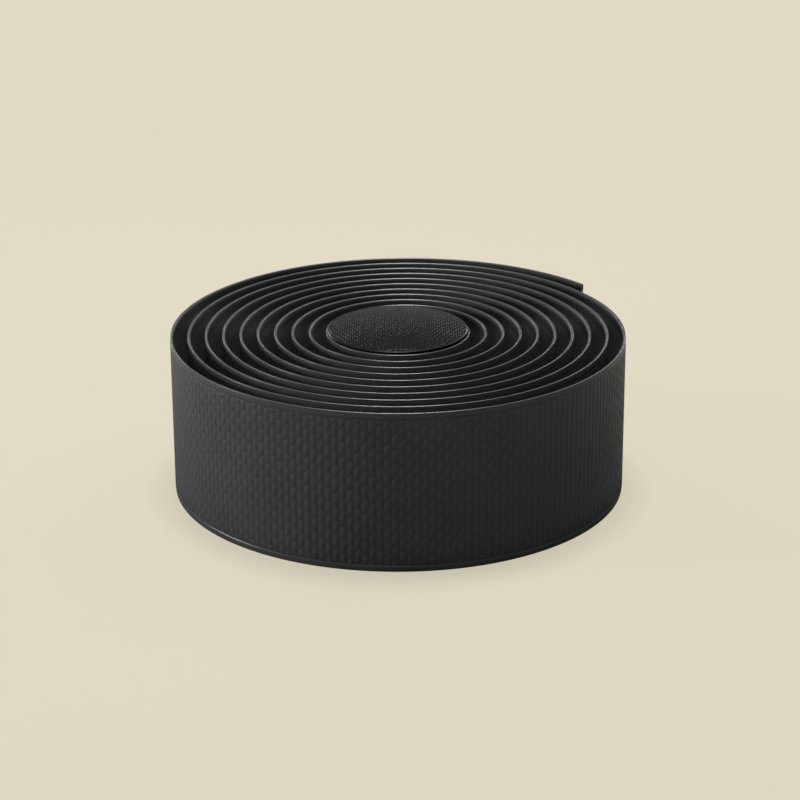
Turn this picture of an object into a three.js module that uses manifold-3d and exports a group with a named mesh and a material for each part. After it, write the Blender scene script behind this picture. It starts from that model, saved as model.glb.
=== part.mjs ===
// A roll of handlebar tape, wound in a loose spiral and standing on its edge, with the
// push-in bar end plug that comes with it nested in the middle.
// Millimetres, +Z up. The roll stands on z = 0 and is centred on the Z axis.

import * as THREE from 'three';
import { mergeVertices } from 'three/addons/utils/BufferGeometryUtils.js';
import Module from 'manifold-3d';

const wasm = await Module();
wasm.setup();

// Tape strip
const TAPE_WIDTH = 30;             // edge to edge, and so the height of the standing roll
const PAD_THICKNESS = 2.6;         // full thickness along the middle of the strip
const EDGE_THICKNESS = 0.56;       // thickness of the thin margin along both edges
const EDGE_MARGIN = 2;             // width of that thin margin
const SKIVE_WIDTH = 6.5;           // width over which the back slopes down to the margin
const SHOULDER_HEIGHT = 0.6;       // smooth shoulder along the outer face's edges, up the strip
const SHOULDER_DEPTH = 0.12;       // the same shoulder, into the strip
const EDGE_ROUND = 0.06;           // broken corner between edge and back

// Winding
const WINDING_GAP = 0.63;          // air between the pads of neighbouring turns
const TURNS = 9.926;
const OUTER_END_AZIMUTH = 36.8;    // degrees about +Z from +X
const STEPS_PER_TURN = 40;

// Plug head
const HEAD_RADIUS = 13.1;
const HEAD_EDGE_RISE = 0.45;       // the head's widest line, above the tape's edge
const HEAD_EDGE_ROUND = 0.22;
const DOME_RISE = 1.6;             // crown of the head, above its widest line
const BEVEL_DEPTH = 0.9;           // 45 degree bevel below the widest line
const HEAD_SKIRT = 1.8;            // straight wall below the bevel
const HEAD_WALL = 2;               // under the crown

// Plug stem
const STEM_RADIUS = 8.9;
const STEM_WALL = 1.7;
const STEM_LENGTH = 17.4;
const BARB_REACH = 1.3;
const BARB_COUNT = 3;
const BARB_HEIGHT = 2.4;
const BARB_LAND = 0.5;
const FIRST_BARB_DROP = 3.2;       // from the head's underside to the first barb's shoulder
const BARB_SPACING = 4.4;
const SLOT_COUNT = 4;
const SLOT_WIDTH = 2.4;
const SLOT_LENGTH = 12.6;
const PLUG_SEGMENTS = 48;

// Clearances
const SEAT_CLEARANCE = 0.2;        // bevel of the head to the innermost edge
const STEM_CLEARANCE = 0.4;        // tips of the barbs to the innermost pad
const CUT_OVERRUN = 1;             // a cutting body reaches this far past what it cuts

// Worked out from the sizes above
const pitch = PAD_THICKNESS + WINDING_GAP;
const barbRadius = STEM_RADIUS + BARB_REACH;
const bevelAtEdge = HEAD_RADIUS - HEAD_EDGE_RISE;
const holeRadius = Math.max(
  bevelAtEdge + SEAT_CLEARANCE,
  barbRadius + STEM_CLEARANCE + PAD_THICKNESS - EDGE_THICKNESS,
);
const innerEndRadius = holeRadius - pitch / 4 + EDGE_THICKNESS;
const outerEndRadius = innerEndRadius + pitch * TURNS;
const outerEndAngle = THREE.MathUtils.degToRad(OUTER_END_AZIMUTH);
const innerEndAngle = outerEndAngle + 2 * Math.PI * TURNS;

// Path of the strip's outer face: an Archimedean spiral from the outer end inwards. Equal steps
// of the parameter are equal angles, so the facets of neighbouring turns lie side by side.
class WindingCurve extends THREE.Curve {
  getPoint(t, target = new THREE.Vector3()) {
    const angle = THREE.MathUtils.lerp(outerEndAngle, innerEndAngle, t);
    const radius = THREE.MathUtils.lerp(outerEndRadius, innerEndRadius, t);
    return target.set(radius * Math.cos(angle), radius * Math.sin(angle), 0);
  }

  getTangent(t, target = new THREE.Vector3()) {
    const angle = THREE.MathUtils.lerp(outerEndAngle, innerEndAngle, t);
    const radius = THREE.MathUtils.lerp(outerEndRadius, innerEndRadius, t);
    const inward = pitch / (2 * Math.PI);
    target.set(
      -radius * Math.sin(angle) - inward * Math.cos(angle),
      radius * Math.cos(angle) - inward * Math.sin(angle),
      0,
    );
    return target.normalize();
  }

  getPointAt(u, target) {
    return this.getPoint(u, target);
  }

  getTangentAt(u, target) {
    return this.getTangent(u, target);
  }
}

// Section of the strip: a flat outer face, thin margins, and a back that is skived down to them.
// Depth runs from the outer face towards the middle of the roll, height up from the lower edge.
function stripSection() {
  const upperHalf = [
    [0, TAPE_WIDTH - SHOULDER_HEIGHT],
    [SHOULDER_DEPTH, TAPE_WIDTH],
    [EDGE_THICKNESS - EDGE_ROUND, TAPE_WIDTH],
    [EDGE_THICKNESS, TAPE_WIDTH - EDGE_ROUND],
    [EDGE_THICKNESS, TAPE_WIDTH - EDGE_MARGIN],
    [PAD_THICKNESS, TAPE_WIDTH - EDGE_MARGIN - SKIVE_WIDTH],
  ];
  const lowerHalf = upperHalf.map(([depth, height]) => [depth, TAPE_WIDTH - height]).reverse();
  const outline = [...upperHalf, ...lowerHalf];
  // The sweep lays a shape's x axis along -Z and its y axis towards the middle of the roll.
  return new THREE.Shape(outline.map(([depth, height]) => new THREE.Vector2(-height, depth)));
}

function windTape() {
  const geometry = new THREE.ExtrudeGeometry(stripSection(), {
    steps: Math.round(TURNS * STEPS_PER_TURN),
    extrudePath: new WindingCurve(),
  });
  return mergedPositions(geometry);
}

function mergedPositions(geometry) {
  geometry.deleteAttribute('normal');
  geometry.deleteAttribute('uv');
  return mergeVertices(geometry, 1e-4);
}

function toSolid(geometry) {
  const merged = mergedPositions(geometry);
  return new wasm.Manifold(new wasm.Mesh({
    numProp: 3,
    vertProperties: new Float32Array(merged.attributes.position.array),
    triVerts: new Uint32Array(merged.index.array),
  }));
}

function toGeometry(solid) {
  const mesh = solid.getMesh();
  const geometry = new THREE.BufferGeometry();
  geometry.setAttribute('position', new THREE.BufferAttribute(mesh.vertProperties, 3));
  geometry.setIndex(new THREE.BufferAttribute(mesh.triVerts, 1));
  return geometry;
}

// Crown of the head: a spherical cap that runs into the rounded widest line.
function crownPoints(edgeHeight) {
  const capRadius = HEAD_RADIUS - HEAD_EDGE_ROUND;
  const sphereRadius = (capRadius ** 2 + DOME_RISE ** 2) / (2 * DOME_RISE);
  const capAngle = Math.asin(capRadius / sphereRadius);
  const capSteps = 6;
  const points = [];
  for (let i = 0; i <= capSteps; i += 1) {
    const angle = capAngle * i / capSteps;
    points.push(new THREE.Vector2(
      sphereRadius * Math.sin(angle),
      edgeHeight + DOME_RISE - sphereRadius * (1 - Math.cos(angle)),
    ));
  }
  points[0].x = 0;
  return points;
}

// Barbs round the stem, each a saw tooth that leans back towards the head.
function barbPoints(undersideHeight) {
  const points = [];
  for (let i = 0; i < BARB_COUNT; i += 1) {
    const shoulder = undersideHeight - FIRST_BARB_DROP - i * BARB_SPACING;
    points.push(
      new THREE.Vector2(STEM_RADIUS, shoulder),
      new THREE.Vector2(barbRadius, shoulder - BARB_LAND / 2),
      new THREE.Vector2(barbRadius, shoulder - BARB_LAND),
      new THREE.Vector2(STEM_RADIUS, shoulder - BARB_HEIGHT),
    );
  }
  return points;
}

function plugProfile() {
  const edgeHeight = TAPE_WIDTH + HEAD_EDGE_RISE;
  const skirtTop = edgeHeight - BEVEL_DEPTH;
  const underside = skirtTop - HEAD_SKIRT;
  const stemEnd = underside - STEM_LENGTH;
  const crown = crownPoints(edgeHeight);
  const ceiling = edgeHeight + DOME_RISE - HEAD_WALL;
  const boreRadius = STEM_RADIUS - STEM_WALL;
  const boreRound = STEM_WALL / 2;
  return [
    ...crown,
    new THREE.Vector2(HEAD_RADIUS, edgeHeight - HEAD_EDGE_ROUND / 2),
    new THREE.Vector2(HEAD_RADIUS - BEVEL_DEPTH, skirtTop),
    new THREE.Vector2(HEAD_RADIUS - BEVEL_DEPTH, underside),
    new THREE.Vector2(STEM_RADIUS, underside),
    ...barbPoints(underside),
    new THREE.Vector2(STEM_RADIUS, stemEnd),
    new THREE.Vector2(boreRadius, stemEnd),
    new THREE.Vector2(boreRadius, ceiling - boreRound),
    new THREE.Vector2(boreRadius - boreRound, ceiling),
    new THREE.Vector2(0, ceiling),
  ];
}

function slotCutter(angle, stemEnd) {
  const box = new THREE.BoxGeometry(
    barbRadius + CUT_OVERRUN,
    SLOT_WIDTH,
    SLOT_LENGTH + CUT_OVERRUN,
  );
  box.translate((barbRadius + CUT_OVERRUN) / 2, 0, stemEnd + (SLOT_LENGTH - CUT_OVERRUN) / 2);
  box.rotateZ(angle);
  return toSolid(box);
}

// The plug is moulded in one piece: domed head, and a hollow barbed stem split into legs.
function mouldPlug() {
  const profile = plugProfile();
  const lathe = new THREE.LatheGeometry(profile.reverse(), PLUG_SEGMENTS);
  lathe.rotateX(Math.PI / 2);
  const stemEnd = TAPE_WIDTH + HEAD_EDGE_RISE - BEVEL_DEPTH - HEAD_SKIRT - STEM_LENGTH;
  let solid = toSolid(lathe);
  for (let i = 0; i < SLOT_COUNT; i += 1) {
    solid = solid.subtract(slotCutter((i + 0.5) * 2 * Math.PI / SLOT_COUNT, stemEnd));
  }
  return toGeometry(solid);
}

const tapeMaterial = new THREE.MeshStandardMaterial({
  name: 'embossed_cover', color: 0x2b2b2c, roughness: 0.55, metalness: 0,
});
const plugMaterial = new THREE.MeshStandardMaterial({
  name: 'moulded_plug', color: 0x262627, roughness: 0.5, metalness: 0,
});

const tape = new THREE.Mesh(windTape(), tapeMaterial);
tape.name = 'tape';

// The innermost turn leaves the most room a quarter pitch away from its free end and an eighth
// of a pitch to one side, so the plug's axis stands there.
const plug = new THREE.Mesh(mouldPlug(), plugMaterial);
plug.name = 'end_plug';
plug.position.set(
  -pitch / 4 * Math.cos(innerEndAngle) - pitch / 8 * Math.sin(innerEndAngle),
  -pitch / 4 * Math.sin(innerEndAngle) + pitch / 8 * Math.cos(innerEndAngle),
  0,
);

// The outer end makes the spiral lopsided, so the roll is moved until its outline is centred.
const roll = new THREE.Group();
const outline = new THREE.Box3().setFromBufferAttribute(tape.geometry.attributes.position);
const middle = outline.getCenter(new THREE.Vector3());
roll.position.set(-middle.x, -middle.y, 0);
roll.add(tape, plug);

const product = new THREE.Group();
product.add(roll);

export default product;
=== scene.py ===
"""A roll of embossed handlebar tape with its bar end plug, lit in a plain studio."""
import math

import bmesh
import bpy
from mathutils import Matrix, Vector


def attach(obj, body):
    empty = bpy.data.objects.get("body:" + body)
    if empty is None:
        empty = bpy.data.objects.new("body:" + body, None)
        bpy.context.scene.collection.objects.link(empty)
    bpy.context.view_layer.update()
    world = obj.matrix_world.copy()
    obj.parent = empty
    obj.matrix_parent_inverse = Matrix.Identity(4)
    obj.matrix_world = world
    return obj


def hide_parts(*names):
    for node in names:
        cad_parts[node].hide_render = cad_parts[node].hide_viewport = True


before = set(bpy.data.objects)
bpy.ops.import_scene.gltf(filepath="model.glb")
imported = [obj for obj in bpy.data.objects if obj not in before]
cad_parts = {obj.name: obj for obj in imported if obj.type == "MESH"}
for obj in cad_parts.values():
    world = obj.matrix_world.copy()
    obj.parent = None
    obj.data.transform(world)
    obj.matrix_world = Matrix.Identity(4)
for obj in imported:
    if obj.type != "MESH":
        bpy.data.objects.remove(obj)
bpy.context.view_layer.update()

MM = 0.001

# Strip, in millimetres, as in the frame
TAPE_WIDTH = 30.0
PAD_THICKNESS = 2.6
EDGE_THICKNESS = 0.56
EDGE_MARGIN = 2.0
SKIVE_WIDTH = 6.5
WINDING_GAP = 0.63
TURNS = 9.926
OUTER_END_AZIMUTH = math.radians(36.8)
PITCH = PAD_THICKNESS + WINDING_GAP
INNER_END_RADIUS = 12.6125
OUTER_END_RADIUS = INNER_END_RADIUS + PITCH * TURNS
SPIRAL_CENTRE = Vector((0.808, -0.808, 0.0))
PLUG_AXIS = Vector((-0.058, -0.553, 0.0))

# Embossing of the cover
COLUMN_PITCH = 1.32          # from one rib to the next
RIB_WIDTH = 1.07             # foot of a rib
ROW_PITCH = 2.64             # from one slanting cut to the next, up a rib
CUT_RISE = 0.92              # how far a cut climbs across its rib
RIB_PHASES = (0.0, 1.76, 0.88)   # where the cuts of three neighbouring ribs start
EMBOSS_DEPTH = 0.10
FIELD_ROWS = 12              # rows of cells up a rib
FIELD_MARGIN = 1.22          # smooth margin between the embossing and the strip's edge
INNER_FIELD_BOTTOM = 23.5    # hidden turns are embossed only near their upper edge
OUTER_FIELD_LENGTH = 300.0   # the outermost turn and a little of the next
SHORTEST_CELL = 0.45
NARROWEST_CELL = 0.33        # radius of the circle that fits in the smallest raised cell
CELL_FLANKS = ((0.15, 0.6), (0.16, 0.4))    # width, and share of the depth
INNER_CELL_FLANK = 0.2       # width, on the hidden turns

# Section of the strip's edge: depth below the outer face, and drop from the strip's edge
SHOULDER = ((0.0, 1.0), (0.006, 0.75), (0.03, 0.40), (0.055, 0.08))
BACK_CORNER = ((EDGE_THICKNESS - 0.10, 0.07), (EDGE_THICKNESS - 0.02, 0.28))
BACK = (
    (EDGE_THICKNESS, 0.90),
    (EDGE_THICKNESS, EDGE_MARGIN - 0.2),
    (EDGE_THICKNESS + 0.1, EDGE_MARGIN + 0.25),
    (PAD_THICKNESS - 0.12, EDGE_MARGIN + SKIVE_WIDTH - 0.4),
    (PAD_THICKNESS, EDGE_MARGIN + SKIVE_WIDTH + 0.4),
)
RIDGES_START = 0.065         # depth at which the knife's ridges start
RIDGED_WIDTH = 0.32          # part of the edge's thickness that has ridges
RIDGE_SLOPE = math.radians(50)   # of a ridge's flank, where it is steepest
UPPER_RIDGES = (3, 4)        # how many, and steps across each
LOWER_RIDGES = (1, 3)

# Plug
EDGE_HEIGHT = 30.45          # the head's widest line
HEAD_RADIUS = 13.1
HEAD_EDGE_ROUND = 0.22
DOME_RISE = 1.6
BEVEL_DEPTH = 0.9
HEAD_SKIRT = 1.8
HEAD_WALL = 2.0
STEM_RADIUS = 8.9
STEM_WALL = 1.7
STEM_LENGTH = 17.4
BARB_REACH = 1.3
BARB_COUNT = 3
BARB_HEIGHT = 2.4
BARB_LAND = 0.5
FIRST_BARB_DROP = 3.2
BARB_SPACING = 4.4
SLOT_WIDTH = 2.4
SLOT_LENGTH = 12.6
CUT_OVERRUN = 1.0            # a cutting bar reaches this far past what it cuts
PLUG_SEGMENTS = 96
SKIRT_TOP = EDGE_HEIGHT - BEVEL_DEPTH
UNDERSIDE = SKIRT_TOP - HEAD_SKIRT
STEM_END = UNDERSIDE - STEM_LENGTH

# Raised dashes on the plug's crown
CROWN_FIELD_RADIUS = 12.72
DASH_WIDTH = 0.44
DASH_PITCH = 1.64            # from one dash to the next in a column
DASH_HEIGHT = 0.11
DASH_FLANKS = ((0.06, 0.8), (0.03, 0.2))    # width, and share of the height
NARROWEST_DASH = 0.2         # radius of the circle that fits in the smallest raised dash
SMOOTH_PLUG_RELIEF = 0.6     # where the plug outside its dashes stands, from the dashes' gaps (0) to their tops (1), which sets its colour and gloss

# Materials of the tape, in their order on the piece
COVER, CUT_EDGE, FOAM_BACK = range(3)

# Edges that turn more than this are sharp
SHARP_ON_TAPE = math.radians(50)
SHARP_ON_PLUG = math.radians(40)

# Vertices this close together are one
WELD_ON_TAPE = 0.002
WELD_ON_PLUG = 0.0005

# Studio. Lengths here are in metres.
PAPER = (0.745, 0.701, 0.552, 1.0)
DIM_PAPER = (0.11, 0.11, 0.115, 1.0)    # the floor, as far as it lights the roll
DIM_STUDIO = (0.5, 0.5, 0.515, 1.0)     # the studio, in the same way
DIM_STUDIO_STRENGTH = 0.35
FLOOR_REACH = 3.0            # from the roll to each side
GLOW_NEAR = 0.90             # of the paper round the roll
LIT_SHARE = 0.18             # how much of the paper round the roll takes light and shadow
LIT_FADE = (0.13, 0.32)      # distance over which that ends
FLOOR_SHEEN = 0.55           # how much of the floor a satin surface shows
SHEEN_FADE = (0.035, 0.16)   # distance over which that starts; nearer the roll the floor is painted dark in reflections, a painted contact shadow
BACKDROP_SHEEN = 0.45
BACKDROP_RISE = (0.10, 0.55)     # sine of the elevation over which the backdrop darkens
BACKDROP_STRENGTH = (0.75, 0.06)

# Camera, in millimetres and degrees
CAMERA_ELEVATION = 21.27
CAMERA_DISTANCE = 492.12
AIM_LEFT = 0.458             # how far the aim is off the roll's middle
AIM_UP = 1.015
CAMERA_LEAN = -0.332
LENS = 116.93
SENSOR_WIDTH = 36.0


class Value:
    """A socket on which arithmetic adds Math nodes."""

    def __init__(self, shader, socket):
        self.shader = shader
        self.socket = socket

    def _math(self, operation, *operands):
        inputs = dict(enumerate(operands))
        return self.shader.add("ShaderNodeMath", {"operation": operation}, inputs).out()

    def __add__(self, other):
        return self._math("ADD", self, other)

    def __radd__(self, other):
        return self._math("ADD", other, self)

    def __sub__(self, other):
        return self._math("SUBTRACT", self, other)

    def __rsub__(self, other):
        return self._math("SUBTRACT", other, self)

    def __mul__(self, other):
        return self._math("MULTIPLY", self, other)

    def __rmul__(self, other):
        return self._math("MULTIPLY", other, self)

    def maximum(self, other):
        return self._math("MAXIMUM", self, other)


class Node:
    """A node in a shader, whose outputs are taken by name or place."""

    def __init__(self, shader, node):
        self.shader = shader
        self.node = node

    def out(self, which=0):
        return Value(self.shader, self.node.outputs[which])


class Shader:
    """The node tree of one material or of the world."""

    def __init__(self, owner):
        owner.use_nodes = True
        self.owner = owner
        self.tree = owner.node_tree
        self.tree.nodes.clear()

    def add(self, kind, settings=None, inputs=None):
        node = self.tree.nodes.new(kind)
        for name, value in (settings or {}).items():
            setattr(node, name, value)
        for name, value in (inputs or {}).items():
            if isinstance(value, Value):
                self.tree.links.new(value.socket, node.inputs[name])
            else:
                node.inputs[name].default_value = value
        return Node(self, node)

    def place(self, which="Object"):
        return self.add("ShaderNodeTexCoord").out(which)

    def noise(self, scale, detail=2.0, roughness=0.5):
        return self.add("ShaderNodeTexNoise", {"noise_dimensions": "3D"}, {
            "Vector": self.place(), "Scale": scale, "Detail": detail, "Roughness": roughness,
        }).out("Fac")

    def attribute(self, name):
        return self.add("ShaderNodeAttribute", {"attribute_name": name}).out("Fac")

    def blend(self, factor, dark, light):
        """A colour from dark to light. The Mix node has its colours on sockets 6 and 7, and
        their mix on output 2."""
        return self.add("ShaderNodeMix", {"data_type": "RGBA"}, {
            "Factor": factor, 6: dark, 7: light,
        }).out(2)

    def bump(self, height, distance, strength):
        return self.add("ShaderNodeBump", None, {
            "Height": height, "Distance": distance, "Strength": strength,
        }).out("Normal")

    def ease(self, value, span, ends=(0.0, 1.0)):
        """Runs smoothly from one end value to the other while a value crosses a span."""
        return self.add("ShaderNodeMapRange", {"interpolation_type": "SMOOTHSTEP"}, {
            "Value": value, "From Min": span[0], "From Max": span[1],
            "To Min": ends[0], "To Max": ends[1],
        }).out()

    def mix(self, factor, first, second):
        return self.add("ShaderNodeMixShader", None, {0: factor, 1: first, 2: second}).out()

    def glow(self, colour, strength):
        return self.add(
            "ShaderNodeEmission", None, {"Color": colour, "Strength": strength}).out()

    def matt(self, colour):
        return self.add("ShaderNodeBsdfDiffuse", None, {"Color": colour}).out()

    def background(self, colour, strength):
        return self.add(
            "ShaderNodeBackground", None, {"Color": colour, "Strength": strength}).out()

    def finish_surface(self, inputs):
        surface = self.add("ShaderNodeBsdfPrincipled", None, inputs)
        self.add("ShaderNodeOutputMaterial", None, {"Surface": surface.out()})
        return self.owner

    def seen_directly(self, reflected):
        """How much a ray sees of the bright paper: all from the camera or through something
        clear, and in a satin surface's dull reflection only a part."""
        path = self.add("ShaderNodeLightPath")
        seen = path.out("Is Camera Ray").maximum(reflected * path.out("Is Glossy Ray"))
        return seen.maximum(path.out("Is Transmission Ray"))


def cover_film():
    """Embossed cover: satin black film, a little duller down in the grooves, and painted darker
    there as painted shade.
    """
    shader = Shader(bpy.data.materials.new("embossed_cover"))
    relief = shader.attribute("relief")
    cloud = shader.noise(110.0, 3.0)
    grain = shader.noise(5200.0, 3.0, 0.6)
    pores = shader.noise(1900.0, 2.0)
    # The relief term is painted shade: the film's colour darkens towards the bottoms of the
    # grooves.
    tone = cloud * 0.4 + grain * 0.35 + relief * 0.25
    return shader.finish_surface({
        "Base Color": shader.blend(
            tone, (0.028, 0.0281, 0.0289, 1), (0.072, 0.0723, 0.0742, 1)),
        "Roughness": 0.28 + 0.08 * grain - 0.06 * relief,
        "Specular IOR Level": 0.34,
        "Normal": shader.bump(grain * 0.7 + pores * 0.3, 0.00003, 0.5),
    })


def cut_foam():
    """Cut edge of the foam: dark grey with fine open pores, and smooth from the knife."""
    shader = Shader(bpy.data.materials.new("cut_foam_edge"))
    pores = shader.noise(6500.0, 3.0, 0.65)
    cloud = shader.noise(260.0, 2.0)
    tone = pores * 0.7 + cloud * 0.3
    return shader.finish_surface({
        "Base Color": shader.blend(
            tone, (0.014, 0.0142, 0.0155, 1), (0.044, 0.0446, 0.048, 1)),
        "Roughness": 0.34 + 0.10 * pores,
        "Specular IOR Level": 0.90,
        "Normal": shader.bump(pores, 0.00002, 0.4),
    })


def foam_back():
    """Back of the strip: skived black foam, matt."""
    shader = Shader(bpy.data.materials.new("foam_back"))
    cells = shader.noise(3800.0, 3.0, 0.65)
    cloud = shader.noise(150.0, 2.0)
    tone = cells * 0.6 + cloud * 0.4
    return shader.finish_surface({
        "Base Color": shader.blend(
            tone, (0.011, 0.011, 0.0115, 1), (0.028, 0.028, 0.029, 1)),
        "Roughness": 0.60 + 0.14 * cells,
        "Specular IOR Level": 0.35,
        "Normal": shader.bump(cells, 0.00006, 0.6),
    })


def plug_plastic():
    """Moulded plug: black plastic, its raised dashes polished a little by handling and so
    glossier on top. Their tops are also painted lighter and the gaps between them darker, as
    painted highlight and painted shade.
    """
    shader = Shader(bpy.data.materials.new("moulded_plug"))
    relief = shader.attribute("relief")
    cloud = shader.noise(160.0, 3.0)
    grain = shader.noise(6200.0, 3.0, 0.6)
    # The relief term is painted highlight and shade: the dashes' tops are coloured lighter and
    # the gaps between them darker.
    tone = cloud * 0.3 + grain * 0.3 + relief * 0.4
    return shader.finish_surface({
        "Base Color": shader.blend(tone, (0.003, 0.003, 0.0031, 1), (0.008, 0.008, 0.0083, 1)),
        "Roughness": 0.32 + 0.08 * grain - 0.04 * relief,
        "Specular IOR Level": 0.17,
        "Normal": shader.bump(grain, 0.00003, 0.5),
    })


def ridged_edge(ridges, steps):
    """Depth and drop across the strip's edge: a rounded shoulder, fine ridges that the knife
    left along the strip, the corner to the back, and the back."""
    width = RIDGED_WIDTH / ridges
    radius = width / 2 / math.sin(RIDGE_SLOPE)
    points = list(SHOULDER)
    for i in range(ridges):
        angles = [RIDGE_SLOPE * (2 * j / steps - 1) for j in range(1 if i else 0, steps + 1)]
        middle = RIDGES_START + width * (i + 0.5)
        points += [
            (middle + radius * math.sin(a), radius - radius * math.cos(a)) for a in angles
        ]
    return points + list(BACK_CORNER + BACK)


def margin_rows():
    """Depth and height of the strip's section outside the embossed field, from the field's
    upper limit over the upper edge, down the back and under the lower edge."""
    upper = [(depth, TAPE_WIDTH - drop) for depth, drop in ridged_edge(*UPPER_RIDGES)]
    return upper + ridged_edge(*LOWER_RIDGES)[::-1]


def edge_rows(ridges, steps):
    """Rows of the section, counted from the embossed field, at which the cover ends and at
    which the cut edge ends."""
    return len(SHOULDER), len(SHOULDER) + 1 + ridges * steps


def row_material(row, last_row):
    """Which material a row of faces has."""
    above, below = row - FIELD_ROWS - 1, last_row - 1 - row
    upper_ends, lower_ends = edge_rows(*UPPER_RIDGES), edge_rows(*LOWER_RIDGES)
    if above < upper_ends[0] or below < lower_ends[0]:
        return COVER
    if above < upper_ends[1] or below < lower_ends[1]:
        return CUT_EDGE
    return FOAM_BACK


def cut_height(row, station, field_bottom):
    """Height of a slanting cut where it meets one side of its rib, kept within the field."""
    column, right = divmod(station, 2)
    field_top = TAPE_WIDTH - FIELD_MARGIN
    height = (row - 1) * ROW_PITCH + RIB_PHASES[column % 3] + right * CUT_RISE
    if height < field_bottom + SHORTEST_CELL:
        return field_bottom
    if height > field_top - SHORTEST_CELL:
        return field_top
    return height


def length_to_turns(length):
    """How many turns from the outer end a length of strip reaches."""
    reach = OUTER_END_RADIUS ** 2 - PITCH * length / math.pi
    return (OUTER_END_RADIUS - math.sqrt(reach)) / PITCH


def tape_length():
    return 2 * math.pi * (OUTER_END_RADIUS * TURNS - PITCH * TURNS ** 2 / 2)


def lay_out_grid(stations, last_row):
    """A flat grid with a station at each side of each rib along x, and the rows of the
    strip's section along y."""
    bm = bmesh.new()
    bmesh.ops.create_grid(
        bm, x_segments=stations, y_segments=last_row, size=0.5,
        matrix=Matrix.Diagonal((stations, last_row, 1, 1)) @ Matrix.Translation((0.5, 0.5, 0)),
    )
    rib = bm.faces.layers.int.new("rib")
    for face in bm.faces:
        middle = face.calc_center_median()
        station, row = int(middle.x), int(middle.y)
        face[rib] = 1 if row < FIELD_ROWS and station % 2 == 0 else 0
        face.material_index = row_material(row, last_row)
    return bm


def thin_out_margin(bm, stations, last_row):
    """Outside the field one station for each rib is enough."""
    def spare_station(vert):
        return round(vert.co.x) % 2 == 1 and vert.co.x < stations - 0.5

    crossing = [
        edge for edge in bm.edges
        if all(spare_station(vert) for vert in edge.verts)
        and max(vert.co.y for vert in edge.verts) > FIELD_ROWS + 0.5
    ]
    bmesh.ops.dissolve_edges(bm, edges=crossing, use_verts=False)
    spare = [
        vert for vert in bm.verts
        if spare_station(vert) and FIELD_ROWS + 0.5 < vert.co.y < last_row - 0.5
    ]
    bmesh.ops.dissolve_verts(bm, verts=spare)


def fold_to_section(bm, margin, last_row):
    """Gives the grid the section of the flat strip and closes it to a sleeve with two ends.
    x is the length along the strip, y the depth below its outer face and z the height."""
    for vert in bm.verts:
        station, row = round(vert.co.x), round(vert.co.y)
        length = (station // 2) * COLUMN_PITCH + (station % 2) * RIB_WIDTH
        row = 0 if row == last_row else row
        if row <= FIELD_ROWS:
            outermost = length < OUTER_FIELD_LENGTH
            depth = EMBOSS_DEPTH
            height = cut_height(row, station, FIELD_MARGIN if outermost else INNER_FIELD_BOTTOM)
        else:
            depth, height = margin[row - FIELD_ROWS - 1]
        vert.co = (length, depth, height)
    bmesh.ops.remove_doubles(bm, verts=bm.verts, dist=WELD_ON_TAPE)
    ends = [edge for edge in bm.edges if edge.is_boundary]
    rib = bm.faces.layers.int["rib"]
    for cap in bmesh.ops.holes_fill(bm, edges=ends, sides=0)["faces"]:
        cap.material_index = CUT_EDGE
        cap[rib] = 0
    bmesh.ops.recalc_face_normals(bm, faces=bm.faces)


def emboss_ribs(bm):
    """Raises the cells between the cuts, apart from those too small for their flanks."""
    rib = bm.faces.layers.int["rib"]
    cells = [
        face for face in bm.faces
        if face[rib] and 2 * face.calc_area() > NARROWEST_CELL * face.calc_perimeter()
    ]
    outer = [face for face in cells if face.calc_center_median().x < OUTER_FIELD_LENGTH]
    inner = [face for face in cells if face.calc_center_median().x >= OUTER_FIELD_LENGTH]
    for width, share in CELL_FLANKS:
        bmesh.ops.inset_individual(
            bm, faces=outer, thickness=width, depth=EMBOSS_DEPTH * share, use_even_offset=True)
    bmesh.ops.inset_individual(
        bm, faces=inner, thickness=INNER_CELL_FLANK, depth=EMBOSS_DEPTH, use_even_offset=True)
    # Height in the relief, 1 on the cells and 0 down in the grooves. The cover's material turns
    # it into gloss and into painted shade in the grooves.
    relief = bm.verts.layers.float.new("relief")
    for vert in bm.verts:
        vert[relief] = max(0.0, 1.0 - vert.co.y / EMBOSS_DEPTH)


def at_field_limit(edge):
    """Whether an edge runs where the embossed field meets the smooth margin."""
    limits = (FIELD_MARGIN, INNER_FIELD_BOTTOM, TAPE_WIDTH - FIELD_MARGIN)
    near = 0.005
    return all(
        abs(vert.co.y - EMBOSS_DEPTH) < near
        and min(abs(vert.co.z - limit) for limit in limits) < near
        for vert in edge.verts)


def wind_up(bm):
    """Winds the flat strip from its outer end inwards."""
    for vert in bm.verts:
        length, depth, height = vert.co
        turns = length_to_turns(length)
        azimuth = OUTER_END_AZIMUTH + 2 * math.pi * turns
        radius = OUTER_END_RADIUS - PITCH * turns - depth
        vert.co = (radius * math.cos(azimuth), radius * math.sin(azimuth), height)
    bmesh.ops.translate(bm, verts=bm.verts, vec=SPIRAL_CENTRE)


def make_tape():
    """The strip is laid flat as a closed sleeve, embossed, and then wound up."""
    margin = margin_rows()
    last_row = FIELD_ROWS + len(margin) + 1
    stations = 2 * int(tape_length() / COLUMN_PITCH) + 1
    bm = lay_out_grid(stations, last_row)
    thin_out_margin(bm, stations, last_row)
    fold_to_section(bm, margin, last_row)
    emboss_ribs(bm)
    shade_smooth(bm, SHARP_ON_TAPE)
    for edge in bm.edges:
        if at_field_limit(edge):
            edge.smooth = False
    wind_up(bm)
    return make_piece("embossed_tape", bm, [cover_film(), cut_foam(), foam_back()])


def crown_height(radius):
    """Height of the domed crown at a distance from the plug's axis."""
    cap_radius = HEAD_RADIUS - HEAD_EDGE_ROUND
    sphere = (cap_radius ** 2 + DOME_RISE ** 2) / (2 * DOME_RISE)
    return EDGE_HEIGHT + DOME_RISE - sphere + math.sqrt(sphere ** 2 - radius ** 2)


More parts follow.
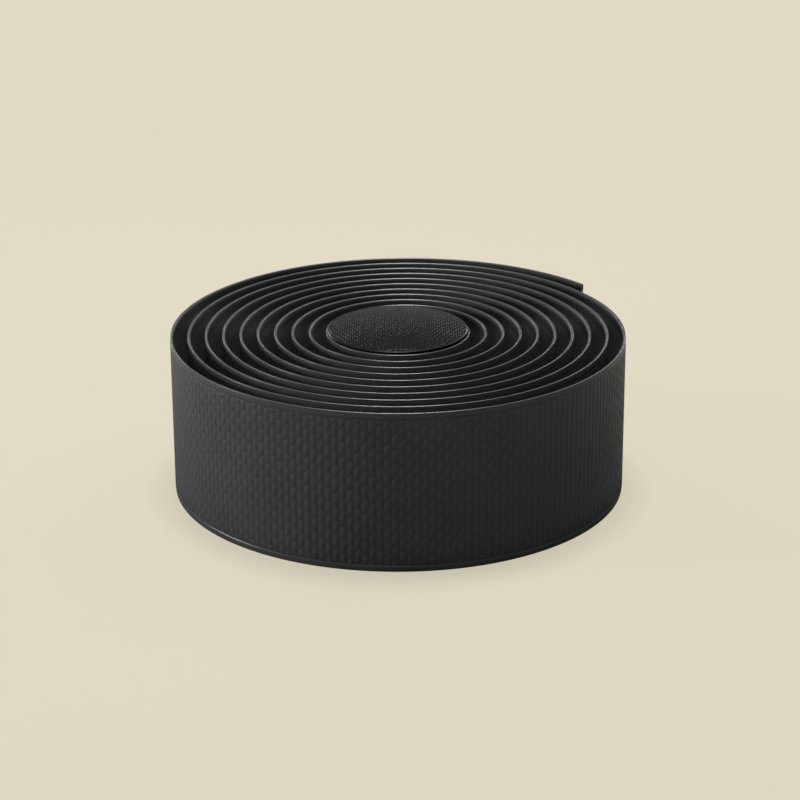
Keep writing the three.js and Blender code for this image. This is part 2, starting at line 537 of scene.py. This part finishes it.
def lay_out_crown(bm):
    """A flat round grid, each dash of it four cells long with the gap, and those of
    neighbouring columns half a step apart. The gaps are marked 0 on the layer "dash"."""
    step = DASH_PITCH / 4
    across = 2 * math.ceil(CROWN_FIELD_RADIUS / DASH_WIDTH) + 2
    along = 2 * math.ceil(CROWN_FIELD_RADIUS / step) + 2
    bmesh.ops.create_grid(
        bm, x_segments=across, y_segments=along, size=0.5,
        matrix=Matrix.Diagonal((across * DASH_WIDTH, along * step, 1, 1)),
    )
    for i in range(PLUG_SEGMENTS):
        angle = (i + 0.5) * 2 * math.pi / PLUG_SEGMENTS
        outward = Vector((math.cos(angle), math.sin(angle), 0))
        bmesh.ops.bisect_plane(
            bm, geom=bm.verts[:] + bm.edges[:] + bm.faces[:], dist=1e-5,
            plane_co=outward * CROWN_FIELD_RADIUS, plane_no=outward, clear_outer=True,
        )
    dash = bm.faces.layers.int.new("dash")
    for face in bm.faces:
        middle = face.calc_center_median()
        column = math.floor(middle.x / DASH_WIDTH)
        row = math.floor(middle.y / step)
        face[dash] = 0 if (row + 2 * (column % 2)) % 4 == 3 else 1
    joints = [
        edge for edge in bm.edges
        if abs(edge.verts[0].co.y - edge.verts[1].co.y) < 1e-4
        and len(edge.link_faces) == 2 and all(face[dash] for face in edge.link_faces)
    ]
    bmesh.ops.dissolve_edges(bm, edges=joints, use_verts=False)


def emboss_crown(bm):
    """Raises the dashes and domes the field."""
    dash = bm.faces.layers.int["dash"]
    cells = [
        face for face in bm.faces
        if face[dash] and 2 * face.calc_area() > NARROWEST_DASH * face.calc_perimeter()
    ]
    for width, share in DASH_FLANKS:
        bmesh.ops.inset_individual(
            bm, faces=cells, thickness=width, depth=DASH_HEIGHT * share, use_even_offset=False)
    relief = bm.verts.layers.float["relief"]
    for vert in bm.verts:
        # Height of each dash, which the plug's material turns into gloss, into painted
        # highlight on the tops and into painted shade in the gaps.
        vert[relief] = vert.co.z / DASH_HEIGHT
        vert.co.z += crown_height(vert.co.xy.length) - DASH_HEIGHT


def plug_outline():
    """Radius and height round the plug, from the crown's edge to the middle of the ceiling.
    The small offsets round the corners."""
    barb_radius = STEM_RADIUS + BARB_REACH
    skirt_radius = HEAD_RADIUS - BEVEL_DEPTH
    bore = STEM_RADIUS - STEM_WALL
    ceiling = EDGE_HEIGHT + DOME_RISE - HEAD_WALL
    points = [
        (CROWN_FIELD_RADIUS + 0.05, crown_height(CROWN_FIELD_RADIUS) - 0.02),
        (CROWN_FIELD_RADIUS + 0.18, crown_height(CROWN_FIELD_RADIUS) - 0.04),
        (HEAD_RADIUS - 0.07, EDGE_HEIGHT - 0.04),
        (HEAD_RADIUS, EDGE_HEIGHT - 0.13),
        (HEAD_RADIUS - 0.05, EDGE_HEIGHT - 0.24),
        (skirt_radius + 0.05, SKIRT_TOP + 0.06),
        (skirt_radius, SKIRT_TOP - 0.08),
        (skirt_radius, UNDERSIDE + 0.15),
        (skirt_radius - 0.15, UNDERSIDE),
        (STEM_RADIUS + 0.25, UNDERSIDE),
        (STEM_RADIUS, UNDERSIDE - 0.25),
    ]
    for i in range(BARB_COUNT):
        shoulder = UNDERSIDE - FIRST_BARB_DROP - i * BARB_SPACING
        points += [
            (STEM_RADIUS, shoulder + 0.12),
            (STEM_RADIUS + 0.12, shoulder),
            (barb_radius - 0.08, shoulder - 0.12),
            (barb_radius, shoulder - BARB_LAND / 2),
            (barb_radius - 0.04, shoulder - BARB_LAND),
            (STEM_RADIUS, shoulder - BARB_HEIGHT),
        ]
    return points + [
        (STEM_RADIUS, STEM_END + 0.2), (STEM_RADIUS - 0.2, STEM_END),
        (bore + 0.2, STEM_END), (bore, STEM_END + 0.2),
        (bore, ceiling - 0.85), (bore - 0.25, ceiling - 0.25), (bore - 0.85, ceiling),
        (0.0, ceiling),
    ]


def cut_slots(plug, angle):
    """Cuts a pair of opposite slots into the stem with a bar laid across it."""
    reach = 2 * (STEM_RADIUS + BARB_REACH + CUT_OVERRUN)
    size = Matrix.Diagonal((reach, SLOT_WIDTH, SLOT_LENGTH + CUT_OVERRUN, 1))
    middle = PLUG_AXIS + Vector((0, 0, STEM_END + (SLOT_LENGTH - CUT_OVERRUN) / 2))
    bm = bmesh.new()
    bmesh.ops.create_cube(bm, size=1, matrix=size)
    bmesh.ops.rotate(
        bm, verts=bm.verts, cent=(0, 0, 0), matrix=Matrix.Rotation(angle, 3, "Z"))
    bmesh.ops.translate(bm, verts=bm.verts, vec=middle)
    bar = make_piece("slot_bar", bm, [])
    cut = plug.modifiers.new("slots", "BOOLEAN")
    cut.operation = "DIFFERENCE"
    cut.solver = "EXACT"
    cut.object = bar
    plug_mesh = bpy.data.meshes.new_from_object(
        plug.evaluated_get(bpy.context.evaluated_depsgraph_get()))
    plug.modifiers.clear()
    plug.data = plug_mesh
    bpy.data.objects.remove(bar)


def mould_plug():
    """The crown's round field, with the rest of the plug spun up to its rim."""
    bm = bmesh.new()
    relief = bm.verts.layers.float.new("relief")
    lay_out_crown(bm)
    emboss_crown(bm)
    chain = [bm.verts.new((radius, 0, height)) for radius, height in plug_outline()]
    for vert in chain:
        vert[relief] = SMOOTH_PLUG_RELIEF
    edges = [bm.edges.new(pair) for pair in zip(chain, chain[1:])]
    bmesh.ops.spin(
        bm, geom=chain + edges, axis=(0, 0, 1), cent=(0, 0, 0),
        angle=2 * math.pi, steps=PLUG_SEGMENTS, use_merge=True, use_duplicate=False,
    )
    bmesh.ops.remove_doubles(bm, verts=bm.verts, dist=WELD_ON_PLUG)
    open_edges = [edge for edge in bm.edges if edge.is_boundary]
    bmesh.ops.bridge_loops(bm, edges=open_edges)
    bmesh.ops.recalc_face_normals(bm, faces=bm.faces)
    bmesh.ops.translate(bm, verts=bm.verts, vec=PLUG_AXIS)
    plug = make_piece("bar_end_plug", bm, [plug_plastic()])
    for i in range(2):
        cut_slots(plug, (i + 0.5) * math.pi / 2)
    bm = bmesh.new()
    bm.from_mesh(plug.data)
    shade_smooth(bm, SHARP_ON_PLUG)
    bm.to_mesh(plug.data)
    bm.free()
    return plug


def shade_smooth(bm, sharp_angle):
    for edge in bm.edges:
        edge.smooth = edge.calc_face_angle(0.0) < sharp_angle
    for face in bm.faces:
        face.smooth = True


def make_piece(name, bm, materials):
    """Turns a bmesh in millimetres into an object of the scene, in metres."""
    bmesh.ops.scale(bm, verts=bm.verts, vec=(MM, MM, MM))
    mesh = bpy.data.meshes.new(name)
    bm.to_mesh(mesh)
    bm.free()
    piece = bpy.data.objects.new(name, mesh)
    bpy.context.scene.collection.objects.link(piece)
    for material in materials:
        mesh.materials.append(material)
    return piece


def floor_paper():
    """Pale paper. Round the roll it takes some light and shadow, and further off it only
    glows, so that a low lamp leaves no pool of light on it. Right beside the roll the paper
    is painted dark in what a satin surface reflects, a painted contact shadow that dims the
    sheen on the roll's lower face."""
    shader = Shader(bpy.data.materials.new("floor_paper"))
    distance = shader.add(
        "ShaderNodeVectorMath", {"operation": "LENGTH"}, {0: shader.place()}).out("Value")
    near = shader.mix(LIT_SHARE, shader.glow(PAPER, GLOW_NEAR), shader.matt(PAPER))
    shown = shader.mix(shader.ease(distance, LIT_FADE), near, shader.glow(PAPER, 1.0))
    # Painted contact shadow: in reflections the floor fades to dark right round the roll.
    seen = shader.seen_directly(FLOOR_SHEEN * shader.ease(distance, SHEEN_FADE))
    surface = shader.mix(seen, shader.matt(DIM_PAPER), shown)
    shader.add("ShaderNodeOutputMaterial", None, {"Surface": surface})
    return shader.owner


def lay_floor():
    bm = bmesh.new()
    bmesh.ops.create_grid(bm, x_segments=8, y_segments=8, size=FLOOR_REACH / MM)
    floor = make_piece("floor", bm, [floor_paper()])


def light_world():
    """Behind the roll the paper sweeps up a little way, and above it the studio is dark."""
    world = bpy.data.worlds.new("studio")
    bpy.context.scene.world = world
    shader = Shader(world)
    rise = shader.add(
        "ShaderNodeSeparateXYZ", None, {0: shader.place("Generated")}).out("Z")
    backdrop = shader.background(PAPER, shader.ease(rise, BACKDROP_RISE, BACKDROP_STRENGTH))
    dim = shader.background(DIM_STUDIO, DIM_STUDIO_STRENGTH)
    mixed = shader.mix(shader.seen_directly(BACKDROP_SHEEN), dim, backdrop)
    shader.add("ShaderNodeOutputWorld", None, {"Surface": mixed})


def hang_light(name, azimuth, elevation, distance, size, power):
    """A soft rectangular light that looks at the roll. Angles in degrees, lengths in metres
    and power in watts."""
    data = bpy.data.lights.new(name, "AREA")
    data.shape = "RECTANGLE"
    data.size, data.size_y = size
    data.energy = power
    lamp = bpy.data.objects.new(name, data)
    bpy.context.scene.collection.objects.link(lamp)
    a, e = math.radians(azimuth), math.radians(elevation)
    outward = Vector((math.cos(a) * math.cos(e), math.sin(a) * math.cos(e), math.sin(e)))
    target = Vector((0, 0, TAPE_WIDTH / 2)) * MM
    lamp.location = target + outward * distance
    lamp.rotation_euler = outward.to_track_quat("Z", "Y").to_euler()


def place_camera():
    """Stands at the photograph's viewing angle, in front of the roll. The aim is a little off
    the roll's middle, and the camera leans a third of a degree, as in the photograph."""
    elevation = math.radians(CAMERA_ELEVATION)
    forward = Vector((0, math.cos(elevation), -math.sin(elevation)))
    upward = Vector((0, math.sin(elevation), math.cos(elevation)))
    middle = SPIRAL_CENTRE + Vector((0, 0, TAPE_WIDTH / 2))
    stand = middle - forward * CAMERA_DISTANCE
    aim = middle + Vector((-AIM_LEFT, 0, 0)) + upward * AIM_UP
    data = bpy.data.cameras.new("camera")
    data.lens = LENS
    data.sensor_width = SENSOR_WIDTH
    data.clip_start = 0.01
    data.clip_end = 20.0
    camera = bpy.data.objects.new("camera", data)
    bpy.context.scene.collection.objects.link(camera)
    turn = (stand - aim).to_track_quat("Z", "Y").to_matrix().to_4x4()
    lean = Matrix.Rotation(math.radians(CAMERA_LEAN), 4, "Z")
    camera.matrix_world = Matrix.Translation(stand * MM) @ turn @ lean
    bpy.context.scene.camera = camera


tape = make_tape()
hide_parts("tape")
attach(tape, "root")

plug = mould_plug()
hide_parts("end_plug")
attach(plug, "root")

lay_floor()
light_world()
hang_light("overhead", azimuth=90, elevation=84, distance=0.60, size=(0.15, 0.15), power=3.7)
hang_light("key_left", azimuth=182, elevation=10, distance=0.55, size=(0.20, 0.15), power=2.2)
hang_light("back_left", azimuth=125, elevation=8, distance=0.55, size=(0.14, 0.12), power=0.9)
hang_light("fill", azimuth=262, elevation=30, distance=0.60, size=(0.30, 0.16), power=0.46)
hang_light(
    "high_back_right", azimuth=35, elevation=40, distance=0.55, size=(0.22, 0.22), power=0.5)
hang_light("edge_right", azimuth=58, elevation=8, distance=0.55, size=(0.12, 0.12), power=0.6)
place_camera()
bpy.context.scene.view_settings.view_transform = "Standard"
